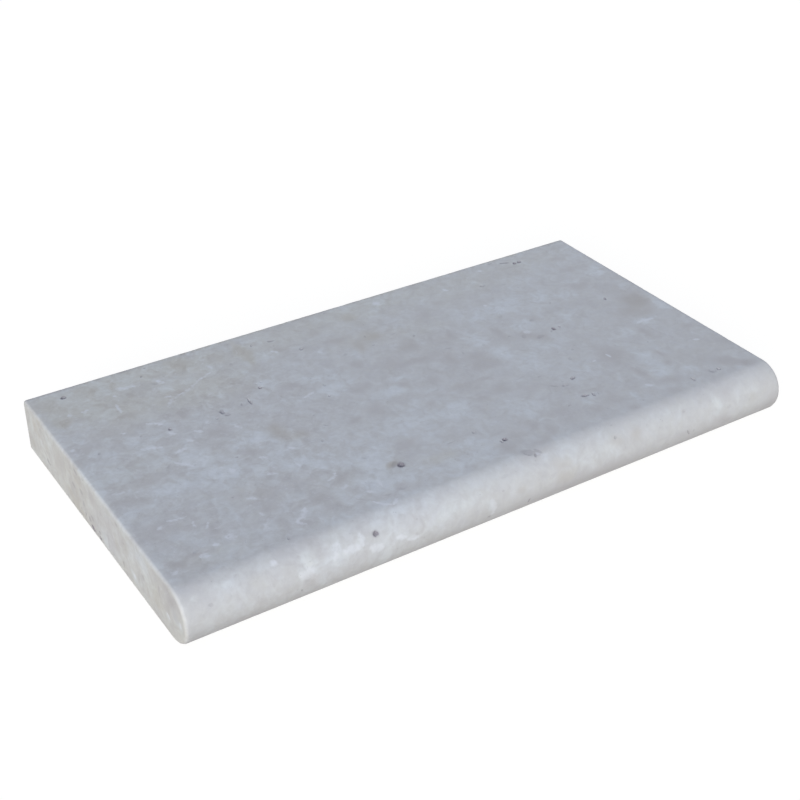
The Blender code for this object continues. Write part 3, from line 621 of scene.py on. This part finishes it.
def patch_tone(x, y, rows, warp):
    """Tone and ochre of all patches together, at places that are warped by noise."""
    tone = np.zeros(len(x))
    ochre = np.zeros(len(x))
    for cx, cy, rx, ry, amount, yellow, turn in rows:
        # a small patch is pushed out of shape less than a large one
        push = min(1, math.sqrt(rx * ry) / WARPED_SIZE)
        u, v = turned(x + warp[0] * push - cx, y + warp[1] * push - cy, turn)
        fall = np.exp(-PATCH_FALL * ((u / rx) ** 2 + (v / ry) ** 2) ** PATCH_POWER)
        tone += PATCH_STRENGTH * amount * fall
        ochre += yellow * fall
    return tone, ochre


def stroke_field(x, y, rows):
    """A stroke's strength on its middle line, 0 at its edge and below 0 outside."""
    field = np.full(len(x), -1.0)
    for number, row in enumerate(rows):
        breadth, strength = row[4:]
        path = stroke_path(row, number)
        low, high = path.min(0) - 2 * breadth, path.max(0) + 2 * breadth
        near = np.nonzero((x > low[0]) & (x < high[0]) & (y > low[1]) & (y < high[1]))[0]
        for (x0, y0, b0), (x1, y1, b1) in zip(path[:-1], path[1:]):
            dx, dy = x1 - x0, y1 - y0
            along = ((x[near] - x0) * dx + (y[near] - y0) * dy) / (dx * dx + dy * dy)
            along = np.clip(along, 0, 1)
            away = np.hypot(x[near] - x0 - along * dx, y[near] - y0 - along * dy)
            share = away / ((b0 + (b1 - b0) * along) / 2)
            level = np.clip(1 - share ** 1.5, -1, 1)
            level = np.where(level > 0, level * strength, level)
            field[near] = np.maximum(field[near], level)
    return field


def scattered_pores(seed, count, x_range, y_range):
    """Pores placed by chance: many small ones, few large, most of them along the bedding."""
    chance = random.Random(seed)
    rows = []
    for _ in range(count):
        length = 2.2 + 6.5 * chance.random() ** 3
        x, y = chance.uniform(*x_range), chance.uniform(*y_range)
        breadth = length * chance.uniform(0.45, 0.9)
        depth = 0.2 + 0.25 * length * chance.random() ** 2
        turn = chance.gauss(0, 35)
        dirt_and_shade = 0.15 + 0.7 * chance.random() ** 2
        rows.append((x, y, length, breadth, depth, dirt_and_shade, turn))
    return rows


def hidden_pores():
    """Pores of the bed and the back, on the loop, and those of the right end."""
    reach = FLAT_END - SIDE_MARGIN
    on_loop = []
    for seed, count, first, last in (
            (BED_SEED, BED_REAR_PORES, starts[BED_REAR] + SIDE_MARGIN, LOOP_LENGTH - BED_MARGIN),
            (BED_SEED + 1, BED_FRONT_PORES, BED_MARGIN, starts[LOWER_NOSE] - BED_MARGIN),
            (BACK_SEED, BACK_PORES, starts[BACK_FACE] + BACK_MARGIN,
             starts[BACK_FACE + 1] - BACK_MARGIN)):
        on_loop += scattered_pores(seed, count, (-reach, reach), (first, last))
    across = -HALF_WIDTH + NOSE_MARGIN, HALF_WIDTH - SIDE_MARGIN
    upright = RIGHT_MARGIN, THICKNESS - RIGHT_MARGIN
    return on_loop, scattered_pores(RIGHT_SEED, RIGHT_PORES, across, upright)


def triangulate(points, edges=(), outline=()):
    """Triangles over points in a plane: to the given edges, or inside the given outline."""
    outlines = [list(outline)] if outline else []
    found = delaunay_2d_cdt([Vector(p) for p in points], list(edges), outlines,
                            1 if outline else 0, 1e-5)
    first = [origin[0] for origin in found[3]]
    return [tuple(first[v] for v in face) for face in found[2]]


def cells_at(places):
    """The cells of the grid that the places lie in."""
    a, s = np.array(places).T
    return np.searchsorted(run_marks, a) - 1, np.searchsorted(loop_marks, s) - 1


def corners(i, j):
    """Numbers of the four corners of a cell of the grid."""
    near, far = j % LOOPS, (j + 1) % LOOPS
    return i * LOOPS + near, (i + 1) * LOOPS + near, (i + 1) * LOOPS + far, i * LOOPS + far


def sheet(fine_points):
    """The unrolled stone: places (a, s) and the faces between them, fine round the marks.

    Most cells of the grid are plain four-sided faces. The cells round the fine points are
    filled with triangles instead, which keep to the edges of the cells outside.
    """
    fine = np.zeros((RUNS - 1, LOOPS), bool)
    spots = np.array(fine_points)
    for da in (-WINDOW_MARGIN, 0, WINDOW_MARGIN):
        for ds in (-WINDOW_MARGIN, 0, WINDOW_MARGIN):
            fine[cells_at(spots + (da, ds))] = True
    faces = [corners(i, j) for i in range(RUNS - 1) for j in range(LOOPS) if not fine[i, j]]
    places = [(a, s) for a in run_marks for s in loop_marks[:-1]]

    inner = {}
    edges = set()
    for i, j in zip(*np.nonzero(fine)):
        square = corners(i, j)
        for v in square:
            inner.setdefault(v, len(inner))
        for k, side in enumerate(((i, j - 1), (i + 1, j), (i, j + 1), (i - 1, j))):
            if not fine[side]:
                edges.add((inner[square[k]], inner[square[(k + 1) % 4]]))
    edge_corners = {v for edge in edges for v in edge}

    def clear_cell(a, s):
        return math.floor(a / CLEAR_CELL), math.floor(s / CLEAR_CELL)
    taken = {clear_cell(*spot) for spot in fine_points}
    numbers = []
    points = []
    renumber = {}
    for v, k in inner.items():
        if k in edge_corners or clear_cell(*places[v]) not in taken:
            renumber[k] = len(points)
            points.append(places[v])
            numbers.append(v)
    numbers += range(len(places), len(places) + len(fine_points))
    points += fine_points
    places += fine_points
    edges = [(renumber[p], renumber[q]) for p, q in edges]

    triangles = triangulate(points, edges)
    middles = np.array(points)[np.array(triangles)].mean(axis=1)
    for triangle, wanted in zip(triangles, fine[cells_at(middles)]):
        if wanted:
            faces.append(tuple(numbers[v] for v in triangle))
    return places, faces


def well_inside(y, z, margin):
    """Whether a place in the end face is at least the margin in from the section's edge."""
    if not (margin < z < THICKNESS - margin and y < HALF_WIDTH - margin):
        return False
    front, depth, rise = ((BED_FRONT, NOSE_LOWER, NOSE_DROP) if z < NOSE_DROP
                          else (NOSE_START, NOSE_UPPER, NOSE_RISE))
    across = (y - front) / (depth - margin)
    up = (z - NOSE_DROP) / (rise - margin)
    return across > 0 or across * across + up * up < 1


def end_face(rim_points, fine_points):
    """Inner points and triangles of an end face, inside a rim of points that is given."""
    margin = ARRIS + WINDOW_MARGIN
    kept = [p for p in fine_points if well_inside(*p, margin)]
    taken = thin_out(kept, CAP_SPACING / 2)
    inner = list(kept)
    rows = int(THICKNESS / CAP_SPACING)
    columns = int(2 * HALF_WIDTH / CAP_SPACING)
    for row in range(rows):
        for column in range(columns):
            y = -HALF_WIDTH + (column + 0.5 * (row % 2) + 0.25) * CAP_SPACING
            z = (row + 0.65) * THICKNESS / rows
            clear = all(math.hypot(y - p, z - q) > CAP_SPACING / 2 for p, q in taken)
            if clear and well_inside(y, z, margin + 0.6):
                inner.append((y, z))
    outline = range(len(rim_points) - 1, -1, -1)
    return inner, triangulate(rim_points + inner, outline=outline)


def relief(points, normals):
    """How far the worn surface lies inside the true form, in millimetres, and its wear."""
    flat = np.max(abs(normals), axis=1)
    edge = np.clip((1 - flat) / FULL_EDGE, 0, 1)
    # the nose is round by design, so only the small arrises count as edges there
    on_nose = (abs(normals[:, 0]) < 1e-6) & (points[:, 1] < NOSE_START + 5)
    edge[on_nose] = 0
    nibble = np.clip(noise_at(points, NIBBLE_SIZE, 6) - NIBBLE_START, 0, 1)
    wave = np.clip(layered(WAVINESS, points, *WAVES), 0, None)
    return wave + edge * (EDGE_WEAR + NIBBLES * nibble), edge


def filled(rows):
    """Rows of pores or patches with the zeros at their end that they leave out."""
    return [row + (0,) * (ROW_VALUES - len(row)) for row in rows]


def sharpened(pores):
    """Pores at their real size, from what the photograph shows of them."""
    return [(x, y, max(length - PORE_BLUR, LEAST_PORE), max(breadth - PORE_BLUR, LEAST_PORE),
             *rest) for x, y, length, breadth, *rest in filled(pores)]


def to_loop(rows, columns=(1,)):
    """Rows given on the unrolled tread and nose, moved to places along the loop."""
    shift = starts[TREAD] - NOSE_START
    return [tuple(value + shift if column in columns else value
                  for column, value in enumerate(row)) for row in rows]


def end_tones(points, patches):
    """Tone and ochre of an end face or of the arris round it, with the painted warm shade of the
    sawn faces.
    """
    warp = [3 * noise_at(points, 9, seed) for seed in (7, 8)]
    tone, ochre = patch_tone(points[:, 1], points[:, 2], patches, warp)
    return tone + SAWN_PAINTED_SHADE, ochre + SAWN_PAINTED_WARMTH


def loop_columns(a, s, pores, strokes):
    """Points, normals and all values of the stone but for its two end faces."""
    points, normals = surface(a, s)
    warp = [layered(0, points, (5, 17, seed), (3, 7.5, seed + 1)) for seed in (7, 9)]
    tone, ochre = patch_tone(a, s, to_loop(filled(PATCHES)), warp)
    wild = np.where((s > starts[LOWER_NOSE]) & (s < starts[TREAD + 1]), 0.0, 1.0)
    on_nose = s < starts[TREAD]
    # the sawn faces, where wild is 1, get painted shade and painted warm light
    tone = tone * np.where(on_nose, NOSE_PATCHES, 1) + SAWN_PAINTED_SHADE * wild
    return (points, normals, *pore_relief(a, s, pores), tone, ochre + SAWN_PAINTED_WARMTH * wild,
            stroke_field(a, s, strokes), wild, np.where(on_nose, NOSE_GREYING, TREAD_GREYING))


def end_columns(side, inner, pores, strokes, patches):
    """Points, normals and all values of the inner points of an end face."""
    y, z = np.array(inner).T
    one = np.ones(len(y))
    points = np.stack([side * HALF_LENGTH * one, y, z], 1)
    normals = np.stack([side * one, 0 * one, 0 * one], 1)
    return (points, normals, *pore_relief(y, z, pores), *end_tones(points, patches),
            stroke_field(y, z, strokes), one if side > 0 else 0 * one, NOSE_GREYING * one)


def carry_over_arris(columns, side, patches):
    """Let the marks of an end face carry on over the arris round it."""
    points, normals, _, _, tone, ochre, _, wild, _ = columns
    arris = np.nonzero(side * normals[:, 0] > 0)[0]
    share = normals[arris, 0] ** 2
    end_tone, end_ochre = end_tones(points[arris], patches)
    tone[arris] = tone[arris] * (1 - share) + end_tone * share
    ochre[arris] = ochre[arris] * (1 - share) + end_ochre * share
    wild[arris] = np.where(share > 0.5, 1.0 if side > 0 else 0.0, wild[arris])


def rim_numbers(points, side):
    """Numbers of the points round an end, one for each place."""
    first = 0 if side < 0 else (RUNS - 1) * LOOPS
    spots = {}
    for k in range(first, first + LOOPS):
        spots.setdefault(tuple(np.round(points[k, 1:], 4)), k)
    return list(spots.values())


def stone_surface():
    """The faces of the whole stone, with the points, normals and values of its points."""
    on_loop, on_right = hidden_pores()
    pores = to_loop(sharpened(PORES)) + on_loop
    strokes = to_loop(STROKES, (1, 3))
    places, faces = sheet(mark_points(pores, strokes))
    a, s = np.array(places).T
    around = loop_columns(a, s, pores, strokes)
    groups = [around]
    count = len(places)
    for side, end_pores, end_strokes, patches in (
            (-1, sharpened(END_PORES), END_STROKES, filled(END_PATCHES)),
            (1, on_right, (), ())):
        rim = rim_numbers(around[0], side)
        rim_points = [tuple(around[0][k, 1:]) for k in rim]
        inner, triangles = end_face(rim_points, mark_points(end_pores, end_strokes))
        numbers = rim + list(range(count, count + len(inner)))
        for triangle in triangles:
            face = [numbers[v] for v in triangle]
            faces.append(face if side > 0 else face[::-1])
        groups.append(end_columns(side, inner, end_pores, end_strokes, patches))
        count += len(inner)
        carry_over_arris(around, side, patches)
    return faces, [np.concatenate(column) for column in zip(*groups)]


def stone_mesh():
    """The stone's closed mesh, with the values that its material reads at each point."""
    faces, columns = stone_surface()
    points, normals, depth, dirt_and_shade, tone, ochre, calcite_and_highlight, wild, greying = columns
    worn, edge = relief(points, normals)
    x, y, _ = points.T
    flecky = LEAST_LIVELY + (1 - LEAST_LIVELY) * np.clip((LIVELY_END - x) / LIVELY_FADE, 0, 1)
    flecky *= 1 - NOSE_LIVELY * np.clip((NOSE_FADE_START - y) / NOSE_FADE, 0, 1)
    points = points - normals * (worn + depth)[:, None]

    mesh = bpy.data.meshes.new("travertine_block")
    mesh.from_pydata((points * MM).tolist(), [], faces)
    for name, values in (("tone", tone), ("ochre", ochre), ("dirt_and_shade", dirt_and_shade),
                         ("calcite_and_highlight", calcite_and_highlight), ("edge", edge), ("wild", wild),
                         ("flecky", flecky), ("greying", greying)):
        mesh.attributes.new(name, "FLOAT", "POINT").data.foreach_set("value", values)

    solid = bmesh.new()
    solid.from_mesh(mesh)
    bmesh.ops.remove_doubles(solid, verts=solid.verts, dist=0.00001)
    bmesh.ops.delete(solid, geom=[v for v in solid.verts if not v.link_faces], context="VERTS")
    for face in solid.faces:
        face.smooth = True
    solid.to_mesh(mesh)
    solid.free()
    return mesh


def linear(red, green, blue):
    """A colour written as screen values from 0 to 255, as the linear values of a shader."""
    return tuple(
        (c / 255 + 0.055) ** 2.4 / 1.055 ** 2.4 if c > 10.3 else c / 255 / 12.92
        for c in (red, green, blue)) + (1.0,)


# The stone's colour from brown-grey to pale blue-grey, by tone
TONES = (
    (-3, linear(180, 178, 177)), (-2, linear(184.5, 183.5, 183)), (-1, linear(190.5, 190.5, 191)),
    (0, linear(197, 199, 201)), (1, linear(203, 207.5, 212.5)), (2, linear(206.8, 212, 219.3)),
    (3, linear(209, 215, 223)),
)
# What the stone's colour is multiplied by where it is yellowish, and how much it is everywhere
OCHRE = (0.992, 0.968, 0.885, 1.0)
OCHRE_BASE = 0.28
# White of calcite, also the colour of one painted highlight among the strokes
CALCITE_AND_HIGHLIGHT = linear(219, 222, 226)
# The colour that pores and pinholes are darkened towards: partly dirt, partly painted shade of
# their hollows
PORE = (0.235, 0.22, 0.245, 1.0)
# Paler colour of the arrises: partly rubbed dust, partly a painted highlight along their rounded
# edges
ARRIS_DUST_AND_HIGHLIGHT = linear(216, 216, 214)
ROUGHNESS = 0.62
IOR = 1.48
BUMP_HEIGHT = 0.00012


class Nodes:
    """A short way to write a material's node tree."""

    def __init__(self, tree):
        self.tree = tree
        tree.nodes.clear()

    def put(self, socket, value):
        if isinstance(value, bpy.types.NodeSocket):
            self.tree.links.new(value, socket)
        else:
            socket.default_value = value

    def add(self, kind, *values, operation=None, **inputs):
        """A new node, with values for its first sockets and for sockets by name."""
        node = self.tree.nodes.new(kind)
        if operation:
            node.operation = operation
        for index, value in enumerate(values):
            self.put(node.inputs[index], value)
        for name, value in inputs.items():
            self.put(node.inputs[name.replace("_", " ")], value)
        return node

    def math(self, operation, *values):
        return self.add("ShaderNodeMath", *values, operation=operation).outputs[0]

    def product(self, first, *factors):
        for factor in factors:
            first = self.math("MULTIPLY", first, factor)
        return first

    def plus(self, total, share, *factors):
        """The total with a share of the factors' product added to it."""
        return self.math("MULTIPLY_ADD", self.product(*factors), share, total)

    def spread(self, value, low, high, to_low=0.0, to_high=1.0, smooth=False):
        """The value with low and high moved to two new levels, and held between them."""
        node = self.add("ShaderNodeMapRange", value, low, high, to_low, to_high)
        node.interpolation_type = "SMOOTHSTEP" if smooth else "LINEAR"
        return node.outputs["Result"]

    def cloud(self, place, size, detail=2.0, roughness=0.5, distortion=0.0):
        """Noise centred on 0, with features of the given size in millimetres."""
        node = self.add("ShaderNodeTexNoise", Vector=place, Scale=1 / (size * MM),
                        Detail=detail, Roughness=roughness, Distortion=distortion)
        return self.math("SUBTRACT", node.outputs["Fac"], 0.5)

    def stray(self, place, size, reach):
        """The place pushed aside by noise, by up to about half the reach, in millimetres."""
        node = self.add("ShaderNodeTexNoise", Vector=place, Scale=1 / (size * MM), Detail=2.0)
        push = self.add("ShaderNodeVectorMath", node.outputs["Color"], (reach * MM,) * 3, place,
                        operation="MULTIPLY_ADD")
        return push.outputs[0]

    def cells(self, place, size, feature="F1"):
        """A pattern of cells of the given size in millimetres."""
        node = self.add("ShaderNodeTexVoronoi", Vector=place, Scale=1 / (size * MM))
        node.feature = feature
        return node

    def value(self, name):
        node = self.tree.nodes.new("ShaderNodeAttribute")
        node.attribute_name = name
        return node.outputs["Fac"]

    def mix(self, share, first, second, kind="MIX"):
        node = self.tree.nodes.new("ShaderNodeMix")
        node.data_type = "RGBA"
        node.blend_type = kind
        self.put(node.inputs[0], share)
        self.put(node.inputs[6], first)
        self.put(node.inputs[7], second)
        return node.outputs[2]


class StoneNodes(Nodes):
    """The node tree of the travertine, with the noises that its looks share."""

    def __init__(self, tree):
        super().__init__(tree)
        self.place = self.add("ShaderNodeTexCoord").outputs["Object"]
        self.wide = self.cloud(self.place, 60, 3, 0.55)
        self.medium = self.cloud(self.place, 12, 2, 0.5, 1.0)
        self.small = self.cloud(self.place, 4.6, 2, 0.5, 0.6)
        self.grain = self.cloud(self.place, 1.3, 2, 0.6)
        self.flecky = self.value("flecky")
        self.lively = self.plus(0.75, 0.55, self.flecky)

    def here_and_there(self, size, first, last):
        """Spots of the given size in which a pattern shows."""
        return self.spread(self.cloud(self.place, size), first, last)


def stone_tone(n):
    """The tone of the stone, whose patches are broken up by noise."""
    ragged = n.plus(1.0, 2.4, n.medium)
    ragged = n.plus(ragged, 0.8, n.small)
    tone = n.product(n.value("tone"), ragged)
    tone = n.plus(tone, 1.8, n.cloud(n.place, 34, 3, 0.5, 0.4))
    tone = n.plus(tone, 2.05, n.medium, n.lively)
    clasts = n.cells(n.stray(n.place, 7, 8), 12, "SMOOTH_F1")
    clasts.inputs["Smoothness"].default_value = 0.15
    clast = n.math("SUBTRACT", clasts.outputs["Color"], 0.5)
    tone = n.plus(tone, 1.4, clast, n.flecky)
    tone = n.plus(tone, 0.4, n.small, n.lively)
    return n.plus(tone, 6.0, n.value("wild"), n.math("ADD", n.wide, n.medium))


def stone_color(n, tone):
    """The stone's own colour: its tone, its finest mottling and its ochre."""
    lowest, span = TONES[0][0], TONES[-1][0] - TONES[0][0]
    ramp = n.add("ShaderNodeValToRGB", n.spread(tone, lowest, lowest + span))
    stops = ramp.color_ramp.elements
    stops[0].color = TONES[0][1]
    stops[-1].color = TONES[-1][1]
    for level, color in TONES[1:-1]:
        stops.new((level - lowest) / span).color = color

    # the finest mottling only makes the colour lighter and darker
    shade = n.plus(1.0, 0.15, n.small, n.lively)
    shade = n.plus(shade, 0.12, n.medium, n.lively)
    shade = n.plus(shade, 0.05, n.grain)
    shaded = n.add("ShaderNodeVectorMath", ramp.outputs["Color"], operation="SCALE", Scale=shade)

    warm = n.math("ADD", n.value("ochre"), OCHRE_BASE)
    warm = n.plus(warm, tone, n.value("greying"))
    warm = n.plus(warm, 4.0, n.value("wild"), n.wide)
    warm = n.plus(warm, 0.6, n.cloud(n.place, 9, 2, 0.5, 0.5))
    return n.mix(n.spread(warm, 0, 1.6, 0, 1.6), shaded.outputs[0], OCHRE, "MULTIPLY")


def with_white(n, color):
    """The colour with pale flecks, wisps and veins of calcite, one painted highlight, and arrises
    paler by rubbed dust and a painted highlight.
    """
    flecks = n.cells(n.place, 3.2)
    fleck = n.product(n.spread(flecks.outputs["Distance"], 0.5, 0.1),
                      n.here_and_there(7, 0.0, 0.16), n.flecky, 0.3)
    color = n.mix(fleck, color, CALCITE_AND_HIGHLIGHT)

    # thin white wisps along the borders of rounded cells
    borders = n.cells(n.stray(n.place, 9, 9), 15, "DISTANCE_TO_EDGE")
    wisp = n.product(n.spread(borders.outputs["Distance"], 0.075, 0.01),
                     n.here_and_there(13, 0.03, 0.2), n.spread(n.small, -0.2, 0.2),
                     n.flecky, 0.45)
    color = n.mix(wisp, color, CALCITE_AND_HIGHLIGHT)

    # veins of calcite from the strokes, one of which is a painted highlight on the lit wall of a
    # chipped hollow
    crumble = n.plus(n.product(n.small, 1.9), 1.4, n.cloud(n.place, 2.4, 2, 0.6))
    frayed = n.plus(0.1, 0.9, n.flecky)
    white = n.plus(n.value("calcite_and_highlight"), frayed, crumble)
    veins_and_highlight = n.product(n.spread(white, -0.45, 1.05, smooth=True), 0.84)
    color = n.mix(veins_and_highlight, color, CALCITE_AND_HIGHLIGHT)

    # the arrises are made paler: partly rubbed dust, partly a painted highlight along their
    # rounded edges
    rubbed_and_lit = n.product(n.value("edge"), n.spread(n.medium, -0.25, 0.25, 0.15, 0.75), 0.5)
    return n.mix(rubbed_and_lit, color, ARRIS_DUST_AND_HIGHLIGHT)


def travertine():
    material = bpy.data.materials.new("travertine_stone")
    material.use_nodes = True
    n = StoneNodes(material.node_tree)
    color = with_white(n, stone_color(n, stone_tone(n)))

    pinhole = n.product(n.spread(n.cells(n.place, 4.5).outputs["Distance"], 0.1, 0.06),
                        n.here_and_there(16, 0.03, 0.12))
    # pores and pinholes are darkened towards the pore colour: partly dirt, partly painted shade of
    # their hollows
    dirt_and_shade = n.product(n.value("dirt_and_shade"), n.plus(1.0, 0.9, n.grain))
    color = n.mix(n.product(pinhole, 0.45), color, PORE)
    color = n.mix(dirt_and_shade, color, PORE)

    height = n.plus(n.product(pinhole, -1.2), 0.5, n.cloud(n.place, 0.7, 3, 0.65))
    height = n.plus(height, 0.5, n.small)
    bump = n.add("ShaderNodeBump", Strength=1.0, Distance=BUMP_HEIGHT, Height=height)

    roughness = n.plus(ROUGHNESS, 0.35, n.small)
    roughness = n.plus(roughness, 0.25, n.value("dirt_and_shade"))
    roughness = n.plus(roughness, 0.25, n.value("edge"))
    shader = n.add("ShaderNodeBsdfPrincipled", Base_Color=color, Roughness=roughness,
                   IOR=IOR, Normal=bump.outputs["Normal"])
    n.add("ShaderNodeOutputMaterial", Surface=shader.outputs["BSDF"])
    return material


def direct_view(n):
    """1 for the camera and for what is seen in or through something, else 0."""
    path = n.tree.nodes.new("ShaderNodeLightPath")
    seen = n.math("MAXIMUM", path.outputs["Is Camera Ray"], path.outputs["Is Glossy Ray"])
    return n.math("MAXIMUM", seen, path.outputs["Is Transmission Ray"])


FLOOR_RADIUS = 6.0
# Levels of the floor as the camera sees it: what it adds by itself, and its share of the light
FLOOR_GLOW = 0.92
FLOOR_SEEN = (0.145, 0.138, 0.122, 1.0)
FLOOR_TRUE = (0.39, 0.355, 0.33, 1.0)
WHITE = (1, 1, 1, 1)
SKY_LOW = (0.18, 0.135, 0.075, 1.0)
SKY_HIGH = (0.285, 0.36, 0.533, 1.0)
SUN_DIRECTION = (-0.588, -0.640, 0.345)
SUN_STRENGTH = 3.14
SUN_COLOR = (1.0, 0.997, 0.99)
SUN_ANGLE = math.radians(35)


def floor():
    mesh = bpy.data.meshes.new("studio_floor")
    disc = bmesh.new()
    bmesh.ops.create_circle(disc, cap_ends=True, segments=96, radius=FLOOR_RADIUS)
    disc.to_mesh(mesh)
    disc.free()
    material = bpy.data.materials.new("floor_paper")
    material.use_nodes = True
    n = Nodes(material.node_tree)
    seen = n.add("ShaderNodeBsdfDiffuse", Color=FLOOR_SEEN)
    glow = n.add("ShaderNodeEmission", Color=WHITE, Strength=FLOOR_GLOW)
    both = n.add("ShaderNodeAddShader", seen.outputs[0], glow.outputs[0])
    true = n.add("ShaderNodeBsdfDiffuse", Color=FLOOR_TRUE)
    choice = n.add("ShaderNodeMixShader", direct_view(n), true.outputs[0], both.outputs[0])
    n.add("ShaderNodeOutputMaterial", Surface=choice.outputs[0])
    mesh.materials.append(material)
    paper = bpy.data.objects.new("studio_floor", mesh)
    bpy.context.scene.collection.objects.link(paper)


def sky():
    world = bpy.data.worlds.new("studio")
    world.use_nodes = True
    bpy.context.scene.world = world
    n = Nodes(world.node_tree)
    way = n.add("ShaderNodeTexCoord").outputs["Generated"]
    height = n.add("ShaderNodeSeparateXYZ", Vector=way).outputs["Z"]
    color = n.mix(n.spread(height, 0, 1), SKY_LOW, SKY_HIGH)
    light = n.add("ShaderNodeBackground", Color=color, Strength=1.0)
    white = n.add("ShaderNodeBackground", Color=WHITE, Strength=1.0)
    choice = n.add("ShaderNodeMixShader", direct_view(n), light.outputs[0], white.outputs[0])
    n.add("ShaderNodeOutputWorld", Surface=choice.outputs[0])


def sun():
    light = bpy.data.lights.new("soft_key", "SUN")
    light.energy = SUN_STRENGTH
    light.color = SUN_COLOR
    light.angle = SUN_ANGLE
    lamp = bpy.data.objects.new("soft_key", light)
    lamp.rotation_euler = Vector(SUN_DIRECTION).to_track_quat("Z", "Y").to_euler()
    bpy.context.scene.collection.objects.link(lamp)


# The camera, fitted to the outline and the edges of the stone in the photograph
CAMERA_PLACE = (-0.59387, -0.89352, 0.71709)
CAMERA_AZIMUTH = math.radians(-33.1125)
CAMERA_LOOK_DOWN = math.radians(32.417)
CAMERA_ROLL = math.radians(0.2925)
CAMERA_LENS = 62.6
CAMERA_SENSOR = 36.0


def camera():
    data = bpy.data.cameras.new("camera")
    data.lens = CAMERA_LENS
    data.sensor_width = CAMERA_SENSOR
    data.sensor_fit = "HORIZONTAL"
    data.clip_start = 0.02
    data.clip_end = 60
    item = bpy.data.objects.new("camera", data)
    turn = Matrix.Rotation(CAMERA_AZIMUTH, 4, "Z")
    tip = Matrix.Rotation(math.pi / 2 - CAMERA_LOOK_DOWN, 4, "X")
    roll = Matrix.Rotation(CAMERA_ROLL, 4, "Z")
    item.matrix_world = Matrix.Translation(CAMERA_PLACE) @ turn @ tip @ roll
    bpy.context.scene.collection.objects.link(item)
    bpy.context.scene.camera = item


def main():
    bpy.context.scene.view_settings.view_transform = "Standard"
    stone = bpy.data.objects.new("travertine_block", stone_mesh())
    stone.data.materials.append(travertine())
    bpy.context.scene.collection.objects.link(stone)
    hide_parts("coping_stone")
    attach(stone, "root")
    floor()
    sky()
    sun()
    camera()


main()

bpy.context.view_layer.update()
